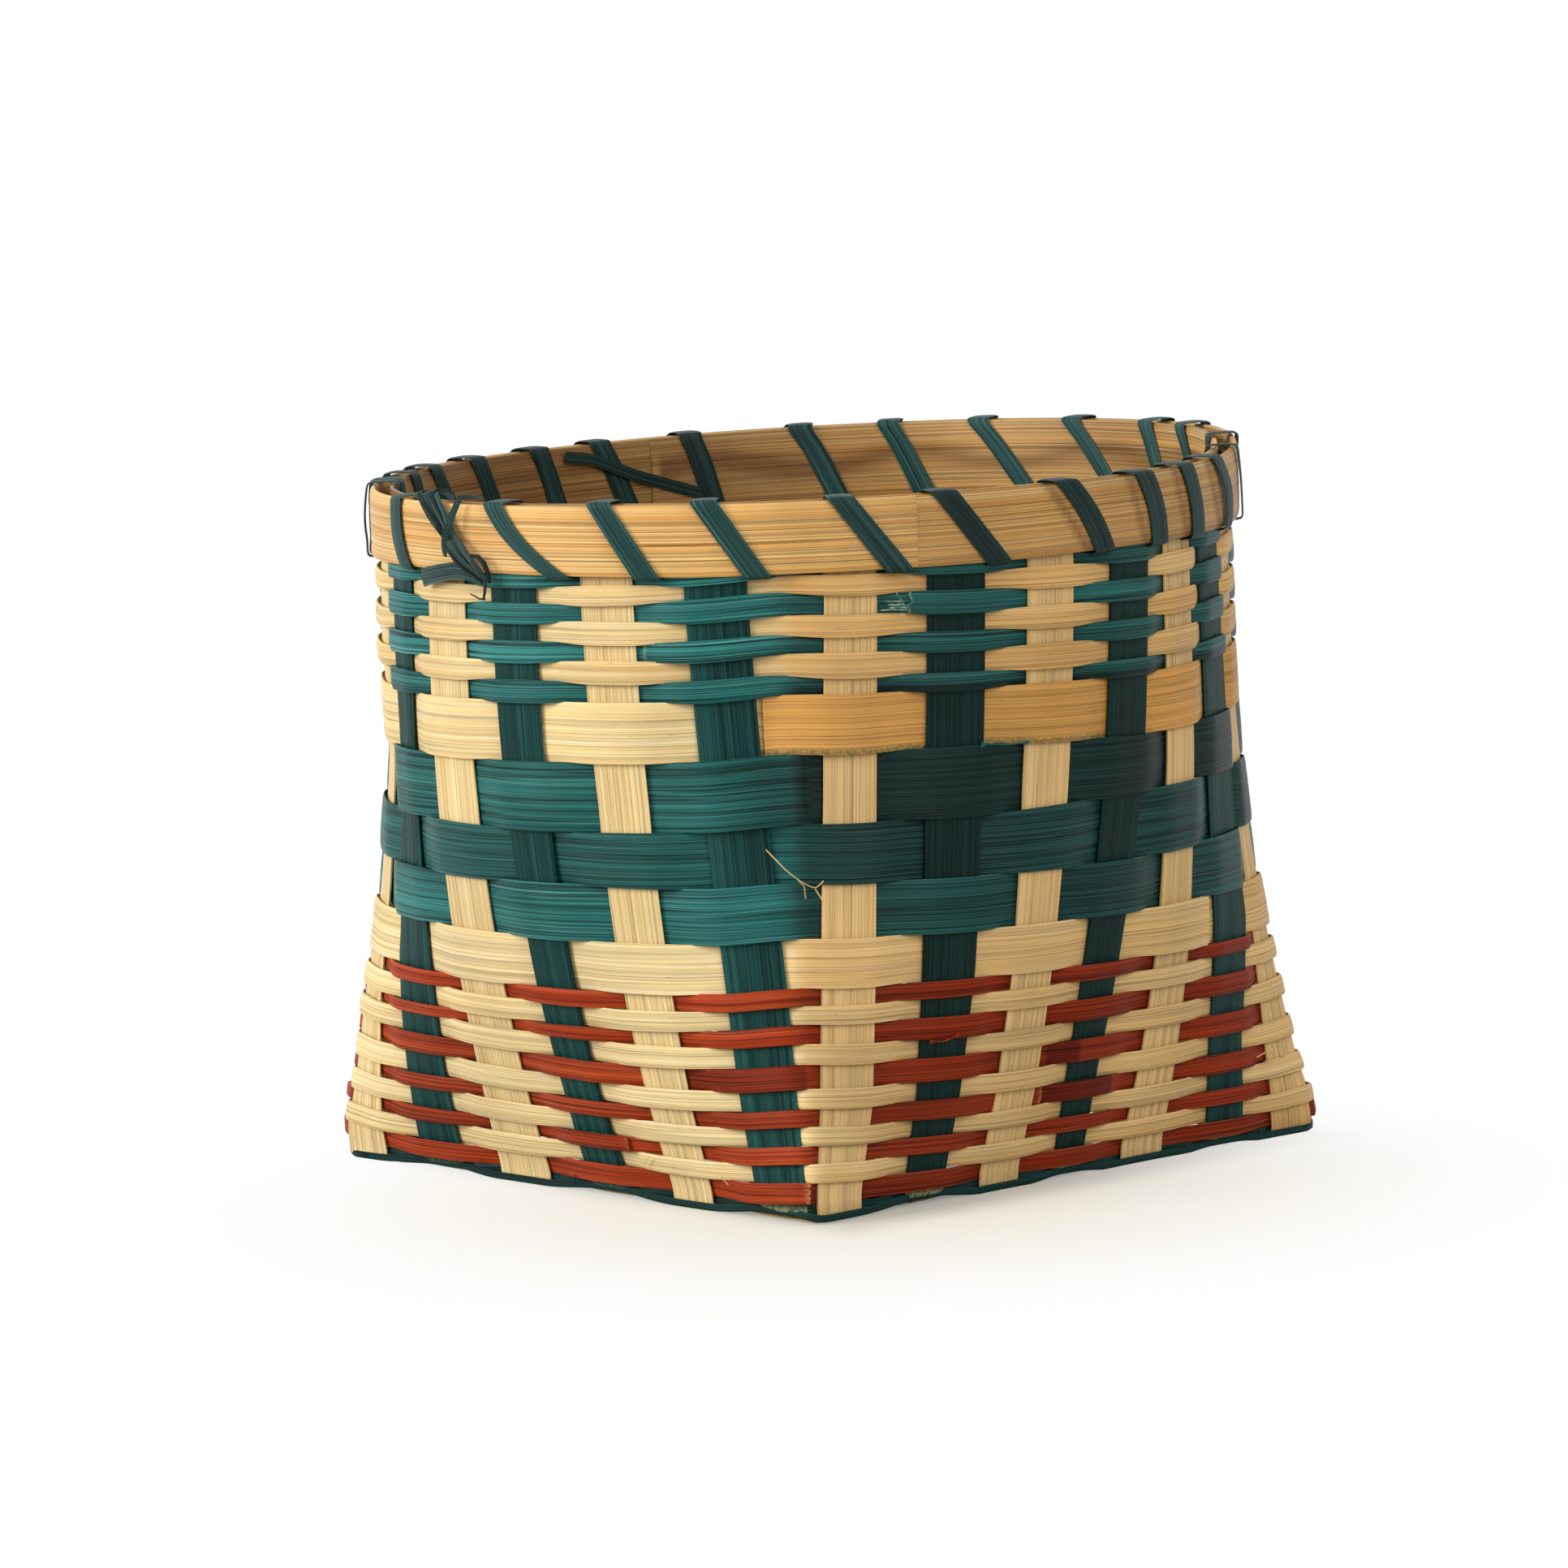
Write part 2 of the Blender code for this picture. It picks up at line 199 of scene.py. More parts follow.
def strip_solid(middle, thickness, seed, crown=0.00012, ridge=0.00003, share=None, groove=0.0):
    """A flat strip from its middle surface, a grid of sections along by points across.

    Each point moves out and in along the surface normal by half the thickness. The outside is
    crowned, the edges are thinned, seeded ridges follow the fibres, and a groove may be cut along it.
    """
    sections, wide = middle.shape[:2]
    normal = np.cross(np.gradient(middle, axis=0), np.gradient(middle, axis=1))
    normal /= np.linalg.norm(normal, axis=-1, keepdims=True) + 1e-12
    share = np.linspace(0, 1, wide) if share is None else share
    bow = 1 - (2 * share - 1) ** 2
    half = thickness / 2 * (1 - 0.55 * np.abs(2 * share - 1) ** 10)
    draw = np.random.default_rng(seed)
    fibre = draw.uniform(-1, 1, wide) * ridge * (bow > 0)
    outer = middle + normal * ((half + crown * bow + fibre)[None, :] - groove)[..., None]
    inner = middle - normal * (half - crown * bow)[None, :, None]
    loop = np.concatenate([outer, inner[:, ::-1]], axis=1)
    centre = middle[:, wide // 2]
    length = np.concatenate([[0], np.cumsum(np.linalg.norm(np.diff(centre, axis=0), axis=1))])
    width = np.linalg.norm(middle[:, -1] - middle[:, 0], axis=1)
    over = both_faces((share - 0.5)[None, :] * width[:, None])
    down = np.broadcast_to(length[:, None], over.shape)
    along = np.stack([down, over, np.full(over.shape, (seed % 97) / 9.7)], -1)
    return loop, strip_faces(sections, 2 * wide), along


def join(nodes, source, target):
    """Fills a node's input: by a link from another node's output, or with a number or colour."""
    if isinstance(source, bpy.types.NodeSocket):
        nodes.id_data.links.new(source, target)
    else:
        target.default_value = source


def carried(nodes, name, output):
    """What the strip's mesh carries under this name: its own coordinates, its stain and painted shade, or
    its wear.
    """
    node = nodes.new("ShaderNodeAttribute")
    node.attribute_name = name
    return node.outputs[output]


def fibre_noise(nodes, along_scale, across_scale, detail, shift):
    """Noise drawn out along the strip: the strip's own coordinates, scaled far more across than along."""
    stretch = nodes.new("ShaderNodeMapping")
    stretch.inputs["Scale"].default_value = (along_scale, across_scale, 31.7)
    stretch.inputs["Location"].default_value = (shift, shift, shift)
    noise = nodes.new("ShaderNodeTexNoise")
    noise.inputs["Scale"].default_value = 1
    noise.inputs["Detail"].default_value = detail
    join(nodes, carried(nodes, "strip", "Vector"), stretch.inputs["Vector"])
    join(nodes, stretch.outputs["Vector"], noise.inputs["Vector"])
    return noise.outputs["Fac"]


def ramp(nodes, value, *stops):
    """A colour ramp from (place, colour) stops. One number for a colour makes a grey."""
    node = nodes.new("ShaderNodeValToRGB")
    band = node.color_ramp
    while len(band.elements) < len(stops):
        band.elements.new(0.5)
    for element, (place, colour) in zip(band.elements, stops):
        element.position = place
        element.color = (*(colour if isinstance(colour, tuple) else (colour,) * 3), 1)
    join(nodes, value, node.inputs["Fac"])
    return node.outputs["Color"]


def blended(nodes, kind, share, base, layer):
    """One colour laid over another. A colour mix has its share at input 0, its colours at 6 and 7."""
    node = nodes.new("ShaderNodeMix")
    node.data_type = "RGBA"
    node.blend_type = kind
    for number, value in ((0, share), (6, base), (7, layer)):
        join(nodes, value, node.inputs[number])
    return node.outputs[2]


def reckoned(nodes, operation, *values):
    """One step of arithmetic on numbers and on other nodes' outputs."""
    node = nodes.new("ShaderNodeMath")
    node.operation = operation
    for value, socket in zip(values, node.inputs):
        join(nodes, value, socket)
    return node.outputs[0]


def rescaled(nodes, value, low, high, start=0.0, finish=1.0, kind="LINEAR"):
    """A value that runs from start to finish, brought to run from low to high and held there."""
    node = nodes.new("ShaderNodeMapRange")
    node.interpolation_type = kind
    for socket, number in (("From Min", start), ("From Max", finish), ("To Min", low), ("To Max", high)):
        node.inputs[socket].default_value = number
    join(nodes, value, node.inputs["Value"])
    return node.outputs["Result"]


def split_bamboo(name, tones, stain_and_shade_colour, raw, painted_glint, roughness, depth, gloss, straight=4):
    """Split bamboo, one layer over another, roughened and raised along its fibres.

    Bands of three tones, thin pale lines painted in as glints (painted highlights), the strip's stain
    and painted shade, soft patches, dark fibre lines as deep as depth says, raw blotches on worn spots,
    and specks. Straight is how quickly fibres change along it.
    """
    material = bpy.data.materials.new(name)
    material.use_nodes = True
    nodes = material.node_tree.nodes
    shader = nodes["Principled BSDF"]
    shader.inputs["Specular IOR Level"].default_value = gloss
    bands = fibre_noise(nodes, straight / 2, 620, 4, 5)
    painted_glints = fibre_noise(nodes, straight * 3, 2300, 2, 21)
    lines = fibre_noise(nodes, straight, 1500, 2, 3)
    fibres = fibre_noise(nodes, straight, 2900, 3, 0)
    veins = fibre_noise(nodes, straight, 820, 2, 13)
    blotches = fibre_noise(nodes, 900, 1400, 3, 7)
    specks = fibre_noise(nodes, 320, 2400, 1, 9)
    place = nodes.new("ShaderNodeTexCoord")
    patches = nodes.new("ShaderNodeTexNoise")
    patches.inputs["Scale"].default_value = 38
    patches.inputs["Detail"].default_value = 3
    join(nodes, place.outputs["Object"], patches.inputs["Vector"])
    colour = ramp(nodes, bands, (0.32, tones[0]), (0.5, tones[1]), (0.68, tones[2]))
    # Thin pale lines along the fibres: painted highlights that stand in for glints of light.
    pale = ramp(nodes, painted_glints, (0.57, 0.0), (0.64, 0.45))
    colour = blended(nodes, "MIX", pale, colour, (*painted_glint, 1))
    # Where the strip is stained it takes the stain colour: real stain and dye, and in places painted shade.
    colour = blended(nodes, "MIX", carried(nodes, "stain_and_shade", "Fac"), colour, (*stain_and_shade_colour, 1))
    dark = 1 - depth
    soft = ramp(nodes, patches.outputs["Fac"], (0.35, 0.86), (0.65, 1.0))
    coarse = ramp(nodes, lines, (0.38, 1 - 0.5 * depth), (0.44, 0.96), (0.56, 1.0))
    fine = ramp(nodes, fibres, (0.38, dark), (0.46, 0.93), (0.56, 1.0))
    thin = ramp(nodes, veins, (0.464, 1.0), (0.490, dark), (0.510, dark), (0.536, 1.0))
    for layer in (soft, coarse, fine, thin):
        colour = blended(nodes, "MULTIPLY", 1.0, colour, layer)
    torn_spots = ramp(nodes, blotches, (0.40, 0.25), (0.55, 1.0))
    rubbed = reckoned(nodes, "MULTIPLY", carried(nodes, "worn", "Fac"), torn_spots)
    colour = blended(nodes, "MIX", rubbed, colour, (*raw, 1))
    colour = blended(nodes, "MULTIPLY", 0.7, colour, ramp(nodes, specks, (0.72, 1.0), (0.80, 0.5)))
    join(nodes, colour, shader.inputs["Base Color"])
    rough = rescaled(nodes, fibres, roughness - 0.14, roughness + 0.14)
    join(nodes, rough, shader.inputs["Roughness"])
    bump = nodes.new("ShaderNodeBump")
    bump.inputs["Strength"].default_value = 0.9
    bump.inputs["Distance"].default_value = 0.00025
    join(nodes, fibres, bump.inputs["Height"])
    join(nodes, bump.outputs["Normal"], shader.inputs["Normal"])
    return material


straw = split_bamboo(
    "straw_bamboo", [(0.84, 0.61, 0.27), (0.90, 0.69, 0.33), (0.95, 0.76, 0.41)],
    stain_and_shade_colour=(0.66, 0.335, 0.085), raw=(0.17, 0.14, 0.05), painted_glint=(0.98, 0.88, 0.60),
    roughness=0.48, depth=0.29, gloss=0.18)
green = split_bamboo(
    "green_dyed_bamboo", [(0.006, 0.032, 0.03), (0.011, 0.060, 0.054), (0.018, 0.088, 0.080)],
    stain_and_shade_colour=(0.006, 0.017, 0.014), raw=(0.30, 0.30, 0.16), painted_glint=(0.028, 0.12, 0.11),
    roughness=0.42, depth=0.42, gloss=0.06)


def stake_wall_grid(number, heights, wide):
    """A stake's wall part: level lines between its two edges, wavering out and in a little."""
    low, high = stake_edges(number, heights)
    share = np.linspace(0, 1, wide)
    turn = low[:, None] + (high - low)[:, None] * share
    out = wander(heights, number + 40, 0.00012)
    return wall(turn, heights[:, None], out[:, None])


def stake_middle(strip, left_right, wide=13):
    """One strip's middle surface: down a wall, a bend, across the foot over and under, a bend, up.

    Round the wall the stakes are numbered 0 to 5, 6 to 12, 13 to 18 and 19 to 25, side by side.
    """
    near, far = (25 - strip, 6 + strip) if left_right else (strip, 18 - strip)
    heights = np.concatenate([np.linspace(0.0012, 0.02, 10), np.linspace(0.023, stake_top, 60)])
    near_wall = stake_wall_grid(near, heights, wide)
    far_wall = stake_wall_grid(far, heights, wide)
    if left_right:
        near_wall = near_wall[:, ::-1]
    else:
        far_wall = far_wall[:, ::-1]
    inset = 0.0015 / foot_side
    run = np.linspace(inset, 1 - inset, 90)[:, None, None]
    base = near_wall[0] * (1 - run) + far_wall[0] * run
    crossed = 6 if left_right else 7
    cross = np.arange(crossed)
    crossing = cross * (1 - 2 * end_stake / foot_side) / (crossed - 1) + end_stake / foot_side
    over = np.where((cross + strip) % 2 == (0 if left_right else 1), 1.0, -1.0)
    wave = np.sin(np.pi / 2 * np.interp(run[:, 0, 0], crossing, over))
    base[..., 2] = under_lift + under_swing * wave[:, None]
    bend = np.linspace(0, 1, 7)[1:-1, None, None]

    def turned_up(foot_line, wall_line):
        """A quarter bend: a three-point curve whose middle point is the corner of the two."""
        knee = np.concatenate([wall_line[:, :2], foot_line[:, 2:]], axis=1)
        return (1 - bend) ** 2 * foot_line + 2 * bend * (1 - bend) * knee + bend**2 * wall_line

    return np.concatenate([
        near_wall[::-1], turned_up(base[0], near_wall[0])[::-1], base,
        turned_up(base[-1], far_wall[0]), far_wall,
    ])


for left_right, count in ((True, 7), (False, 6)):
    way = "left_right" if left_right else "front_back"
    for strip in range(count):
        colour, bamboo = ("green", green) if strip % 2 else ("straw", straw)
        middle = stake_middle(strip, left_right)
        loop, faces, along = strip_solid(middle, stake_thickness, 11 * strip + count, crown=0.00006)
        faces = faces if left_right else faces[:, ::-1]
        # The left_right stakes stand in the right-hand near side and are stained deeper than the front_back
        # ones: partly their own tone, partly painted shade of a side turned from the window lamp. The last
        # of them is also darker towards the bottom on the right.
        if left_right:
            depth = 0.35 if strip == 5 else 0.75 if strip % 2 else 0.5
        else:
            depth = 0.05 if strip % 2 else 0.18
        stain_and_shade = np.full(loop.shape[:2], depth)
        if left_right and strip == count - 1:
            stain_and_shade = stain_and_shade + 0.35 * np.exp(-loop[..., 2] / 0.015) * (loop[..., 0] > 0)
        fold = np.clip((fold_top - loop[..., 2]) / 0.0010, 0, 1)
        fold = fold * (np.abs(loop[..., :2]).max(-1) > foot_half - 0.003)
        fold = fold * (1 if left_right or strip == 5 else 0.15)
        make_piece(
            f"stake_{way}_{strip + 1}", loop, faces, bamboo,
            [f"stake_{way}_{strip + 1}_{colour}"], along, stain_and_shade, (0.85 if strip % 2 else 0.3) * fold,
        )

# Weavers: twenty-three rows of thin strips, each carried round the wall outside one stake and inside
# the next. The low rows are thin red and straw, then wide straw and green, then thin green and straw.
# A row's two ends lie one over the other, pinched behind the stakes.

weaver_thickness = 0.0006
weaver_swing = 0.00125
# Millimetres: the foot of row 1, then the line over each row, read at six turns of the two near sides.
row_edges_by_turn = {
    0.30: (1.6, 6.2, 11.4, 15.0, 20.4, 24.1, 29.9, 34.8, 40.3, 43.0, 48.6, 52.3, 65.6, 79.3, 93.3, 109.8,
           124.9, 130.1, 134.8, 139.9, 144.5, 149.6, 153.5, 158.0),
    0.67: (1.7, 6.6, 11.0, 14.7, 19.5, 23.5, 28.6, 34.0, 39.5, 43.1, 48.3, 52.7, 65.3, 79.8, 92.9, 110.4,
           125.4, 130.4, 135.4, 140.1, 145.1, 149.5, 153.8, 158.0),
    1.00: (1.8, 6.6, 11.1, 15.4, 20.0, 24.2, 29.1, 35.0, 40.0, 44.5, 49.1, 53.4, 65.3, 78.8, 93.2, 110.4,
           124.9, 129.5, 134.9, 139.4, 144.3, 149.8, 154.0, 157.5),
    1.31: (1.6, 6.1, 10.5, 14.5, 18.6, 23.5, 28.4, 34.0, 38.6, 44.2, 49.0, 53.1, 64.9, 78.2, 93.3, 110.4,
           124.5, 128.2, 133.8, 138.3, 143.2, 148.2, 152.7, 157.0),
    1.59: (1.0, 5.3, 9.7, 13.4, 18.0, 22.5, 27.6, 33.0, 37.9, 43.1, 47.9, 51.7, 63.6, 76.9, 93.5, 107.4,
           122.5, 126.5, 132.0, 136.2, 141.3, 145.9, 150.8, 156.5),
    1.89: (0.9, 4.8, 9.0, 12.8, 17.1, 21.8, 26.6, 32.0, 36.7, 41.6, 46.8, 50.1, 62.7, 77.3, 93.5, 108.0,
           123.0, 127.0, 132.5, 137.0, 141.8, 147.0, 151.3, 157.5),
}
row_colours = ["red", "straw"] * 6 + ["green"] * 3 + ["straw"] + ["green", "straw"] * 3 + ["green"]
wide_rows = range(12, 17)
upper_rows = range(17, 24)
row_joint_turn = {
    1: 1.0, 3: 0.651, 5: 1.425, 7: 0.745, 12: 1.773, 15: 1.034, 16: 0.971, 19: 0.797, 21: 1.181,
}
lap = 0.11  # how far a row's ends overlap
start_on_top = (16, 19, 21)
torn_lengths = {12: 0.004, 15: 0.0006, 16: 0.0012, 21: 0.008}
# Places where a row stands off at a corner, as (turn, how far), and its brown pieces, as (start, finish).
corner_loops = {1: ((3.985, 0.0030), (2.012, 0.0024)), 3: ((3.985, 0.0030),)}
brown_pieces = {1: ((1.0, 1.1),), 5: ((1.425, 1.565),), 7: ((0.745, 1.0), (1.43, 1.487))}

red = split_bamboo(
    "red_dyed_bamboo", [(0.36, 0.033, 0.007), (0.44, 0.051, 0.011), (0.53, 0.082, 0.019)],
    stain_and_shade_colour=(0.14, 0.012, 0.004), raw=(0.62, 0.30, 0.13), painted_glint=(0.58, 0.13, 0.05),
    roughness=0.45, depth=0.5, gloss=0.07)
teal = split_bamboo(
    "teal_dyed_bamboo", [(0.019, 0.130, 0.119), (0.028, 0.185, 0.170), (0.042, 0.26, 0.24)],
    stain_and_shade_colour=(0.007, 0.026, 0.021), raw=(0.30, 0.36, 0.24), painted_glint=(0.14, 0.44, 0.42),
    roughness=0.38, depth=0.66, gloss=0.09)


def smooth(share):
    """3s² - 2s³ on a share held between 0 and 1."""
    share = np.clip(share, 0, 1)
    return share * share * (3 - 2 * share)


def row_edge(row, turn):
    """Height of the line between a row and the next, at any turn. Rows ride up at the four corners."""
    places = sorted(row_edges_by_turn)
    values = [row_edges_by_turn[place][row] / 1000 for place in places]
    mean = sum(values) / len(values)
    places = [0.05] + places + [2.2, 3.8, 4.05]
    values = [values[0]] + values + [mean, mean, values[0]]
    height = np.interp(turn % 4, places, values)
    corner = (turn + 0.5) % 1 - 0.5
    ride_up = np.array([0.0024, 0.0018, 0.0006, 0.0018])[np.floor(turn + 0.5).astype(int) % 4]
    past_front = 0.0006 * bell(turn % 4 - 1.16, 0.08)
    return height + ride_up * (1 - 2.5 * height) * bell(corner, 0.09) + past_front


def swing(row, turn, height):
    """+1 outside a stake and -1 inside the next, crossing over between them on a smooth step."""
    side = np.full(turn.shape, np.nan)
    for number in range(-2, 2 * stake_count + 2):
        low, high = stake_edges(number, height)
        following = stake_edges(number + 1, height)[0]
        here = 1.0 if (number + row) % 2 == 0 else -1.0
        margin = 0.2 * (high - low)
        step = smooth((turn - high + margin) / (following - high + 2 * margin))
        reach = (turn >= (low + high) / 2) & (turn < (following + high) / 2 + (following - high) + 0.2)
        side = np.where(reach, here * (1 - 2 * step), side)
    return np.nan_to_num(side)


def weaver_middle(row, wide):
    """A row's middle surface: its two edge lines round the wall, swinging out and in, ends overlapped.

    Places along it are closer near the joint, where the upper end is lifted a little and torn off
    unevenly: each fibre line stops a seeded distance short. Joints that nobody sees are on the far sides.
    """
    joint = row_joint_turn.get(row, 2.3 + 0.37 * (row * 3 % 4) + 0.05 * (row % 3))
    first = joint if row in start_on_top else joint - lap
    last = first + 4 + lap
    close = np.linspace(0.001, 0.03, 16)
    turn = np.sort(np.concatenate([np.linspace(first, last, 520), first + close, last - close]))
    low, high = row_edge(row - 1, turn), row_edge(row, turn)
    side = swing(row, turn, (low.mean() + high.mean()) / 2)
    spread = (0.00018 if row in wide_rows else 0.00042 if row in upper_rows else 0.00006) * np.abs(side)
    low = low - spread + wander(turn, row, 0.00010)
    high = high + spread + wander(turn, row + 30, 0.00010)
    from_end = turn - first if row in start_on_top else last - turn
    on_top = smooth((1.6 * lap - from_end) / (0.5 * lap))
    bulge = 0.0001 * side if row in wide_rows else 0.00025 * np.clip(side, 0, 1)
    bulge = bulge + sum(size * bell(turn % 4 - place, 0.012) for place, size in corner_loops.get(row, ()))
    lifted = (0.0007 if row in (12, 15) else 0.0004) * bell(from_end, 0.008)
    out = weaver_swing * side + bulge + (weaver_thickness + 0.0001) * on_top + lifted
    height = low[:, None] + (high - low)[:, None] * np.linspace(0, 1, wide)
    torn = np.random.default_rng(row + 900).uniform(0, torn_lengths.get(row, 0.0025), wide)
    torn = torn * (1 if row in start_on_top else -1)
    ragged = turn[:, None] + torn * bell(from_end, 0.012)[:, None]
    return wall(ragged, height, out[:, None]), turn, from_end


def dye_and_shade_depth(row, colour, turn, share):
    """How dark a row is made along and across it: uneven in the dye, and darker past the front corner,
    where part of the darkening is painted shade.

    Some red rows are browner up to that corner and have brown pieces laid in. The wide green rows
    each darken by their own amount. The straw row over them turns golden just past its joint.
    """
    at = (turn % 4)[:, None]
    # Past the front corner the side is turned from the window lamp: the darkening there is partly painted
    # shade.
    past_front = smooth((at - 0.97) / 0.06) - smooth((at - 2.2) / 1.2)
    uneven = wander(turn, row + 500, 0.10)[:, None] + 0 * share
    if colour == "red":
        brown = {3: 0.4 * (at < row_joint_turn[3]), 5: 0.32, 7: 0.12}.get(row, 0) * (1 - past_front)
        laid_in = sum((at > start) & (at < finish) for start, finish in brown_pieces.get(row, ()))
        return 0.08 + 0.42 * past_front + uneven + brown + 0.5 * laid_in
    if colour == "green":
        most = {13: 0.72, 14: 0.84, 15: 1.0, 17: 0.55 + 0.4 * (share < 0.5)}.get(row, 0.55)
        before = {13: 0.06, 14: 0.5, 15: 0.33 + 0.3 * smooth((at - 0.86) / 0.12), 17: 0.15}.get(row, 0)
        return np.maximum(most * past_front, before) + uneven
    if row == 16:
        golden = smooth((at - 0.966) / 0.003) - smooth((at - 2.3) / 0.3)
        return 0.12 + 0.88 * np.clip(golden, 0, 1) + 0 * share
    return 0.06 + (0.2 if row in upper_rows else 0) + 0.46 * past_front + uneven


for row, colour in enumerate(row_colours, start=1):
    wide = 17 if row in wide_rows else 9
    middle, turn, from_end = weaver_middle(row, wide)
    loop, faces, along = strip_solid(middle, weaver_thickness, 7 * row + 3)
    share = both_faces(np.linspace(0, 1, wide)[None, :])
    stain_and_shade = np.clip(dye_and_shade_depth(row, colour, turn, share), 0, 1)
    end_wear = 0.15 if row == 3 else 0.5 if colour == "red" or row in upper_rows else 0
    worn = end_wear * bell(from_end, 0.0035)[:, None] * np.ones_like(share)
    if row == 16:
        past_front = (turn % 4 > 0.96) & (turn % 4 < 1.55)
        worn = worn + 0.9 * (share < 0.10) * past_front[:, None]
    make_piece(
        f"row_{row:02d}", loop, faces, {"red": red, "straw": straw, "green": teal}[colour],
        [f"weaver_{row:02d}_{colour}"], along, stain_and_shade, worn,
    )

# Twining: two thin green strands twisted round each other along the edge of the foot. They grip the
# stakes where they turn up and keep the first row from slipping down.

twine_width = 0.0018
twine_thickness = 0.0005


def twine_middle(strand, wide=7):
    """A strand's middle surface, never under the floor.

    The first strand runs outside and low, rising and dipping from stake to stake. The other shows
    between the stakes and slips in behind each one.
    """
    turn = np.linspace(0.35 * strand, 4 + 0.35 * strand + 0.05, 640)
    side = swing(strand, turn, 0.003)
    below_row = 0.0009 if strand else 0.0020 + 0.0006 * side
    lowest = twine_width / 2 - wall_lift
    centre = np.maximum(np.minimum(row_edge(0, turn), 0.0021) - below_row, lowest)
    height = centre[:, None] + twine_width * np.linspace(-0.5, 0.5, wide)
    swung = -0.0018 * np.abs(side) if strand else 0.0003 * side
    corner = (turn + 0.5) % 1 - 0.5
    out = 0.0006 * (1 - side**2) + 0.0003 + swung - 0.0012 * bell(corner, 0.012)
    return wall(turn[:, None], height, out[:, None])


for strand in (0, 1):
    loop, faces, along = strip_solid(twine_middle(strand), twine_thickness, 200 + strand, crown=0.0001)
    make_piece(
        f"foot_twine_{strand + 1}", loop, faces, green, [f"base_twine_{strand + 1}"],
        along, np.full(loop.shape[:2], 0.55),
    )

# Hoops: two thick flat strips of golden bamboo, one outside and one inside the tops of the stakes.
# Each is bent round and its ends overlap. The outer one has split along its middle near the front.

hoop_thickness = 0.0017
hoop_out = 0.0024
hoop_over = 0.10  # how far a hoop's ends overlap
outer_joint, inner_joint = 1.196, 3.309
crack_share = 0.438  # the split's place, from the hoop's foot to its top
hoop_bamboo = split_bamboo(
    "hoop_bamboo", [(0.71, 0.35, 0.090), (0.80, 0.445, 0.135), (0.88, 0.555, 0.21)],
    stain_and_shade_colour=(0.15, 0.056, 0.014), raw=(0.85, 0.70, 0.45), painted_glint=(0.95, 0.78, 0.50),
    roughness=0.42, depth=0.40, gloss=0.14, straight=2)
# A hoop's top and foot edges, as (turn, millimetres).
hoop_tops = np.array([
    (0.0, 174.2), (0.34, 174.0), (0.7, 174.0), (0.9, 173.7), (1.05, 173.1), (1.16, 172.8), (1.3, 172.5),
    (1.41, 172.3), (1.57, 171.9), (1.7, 172.0), (1.85, 172.2), (2.0, 173.4), (2.2, 174.8), (3.8, 174.8),
    (4.0, 174.2),
])
hoop_feet = np.array([
    (0.0, 156.8), (0.33, 157.4), (0.57, 157.2), (0.69, 156.7), (0.88, 155.9), (1.05, 155.6),
    (1.28, 155.1), (1.5, 155.0), (1.66, 154.5), (1.9, 154.5), (2.2, 155.3), (3.8, 155.3), (4.0, 156.8),
])
# The lashing's wraps, as (turn at the top, turn at the foot, sideways bow, looseness).
wraps = np.array([
    (0.557, 0.677, -0.018, 0), (0.741, 0.815, 0, 0), (0.898, 0.974, 0, 0), (1.089, 1.171, 0, 0),
    (1.236, 1.320, 0, 0), (1.430, 1.500, 0.008, 0), (1.582, 1.616, 0.010, 0.1),
    (1.690, 1.722, 0.010, 0.3), (1.795, 1.845, 0.020, 0.8), (1.93, 1.99, 0.01, 0.1), (2.08, 2.17, 0, 0),
    (2.26, 2.32, 0, 0), (2.380, 2.457, 0, 0), (2.567, 2.650, 0, 0), (2.750, 2.843, 0, 0),
    (2.907, 2.990, 0, 0), (3.052, 3.20, 0, 0), (3.238, 3.345, 0, 0), (3.398, 3.478, 0, 0),
    (3.520, 3.610, 0, 0), (3.668, 3.723, 0, 0), (3.800, 3.83, 0, 0), (3.89, 3.94, 0, 0.2),
    (3.985, 4.0, 0, 0.3), (4.035, 4.045, -0.004, 1.0), (4.302, 4.334, -0.012, 0.3),
])


def level_line(table, turn):
    """Height of a hoop's edge at any turn: its table in millimetres, joined by straight lines."""
    return np.interp(turn % 4, table[:, 0], table[:, 1]) / 1000


def hoop_lap(turn, joint):
    """0 to 1: where the hoop's far end has climbed over its near end, up to the joint, at any turn."""
    short = (turn - joint + 2) % 4 - 2
    return smooth((short + 1.5 * hoop_over) / (0.4 * hoop_over)) * (short < 0.001)


def hoop_middle(out, joint, share):
    """A hoop's middle surface: level edges round the mouth, its far end climbing over its near end."""
    turn = np.linspace(joint - hoop_over, joint + 4, 460)
    foot = level_line(hoop_feet, turn) + wander(turn, 301, 0.00012)
    top = level_line(hoop_tops, turn) + wander(turn, 302, 0.00012)
    on_top = hoop_lap(turn, joint) * (turn > joint + 2) * np.sign(out)
    height = foot[:, None] + (top - foot)[:, None] * share
    place = out + 0.0007 * on_top
    return wall(turn[:, None], height, place[:, None]), turn


share = np.sort(np.append(np.linspace(0, 1, 25), (0.410, 0.424, 0.438, 0.452, 0.466)))
middle, turn = hoop_middle(hoop_out, outer_joint, share)
at = turn[:, None] % 4
# The split is cut in as a groove and also darkened along it: painted shade in the groove.
crack = smooth((at - 0.79) / 0.03) * smooth((outer_joint - at) / 0.01)
crack = crack * (0.6 + wander(turn, 304, 0.5)[:, None])
crack = np.clip(crack, 0, 1) * bell(share - (crack_share + wander(turn, 303, 0.012)[:, None]), 0.010)
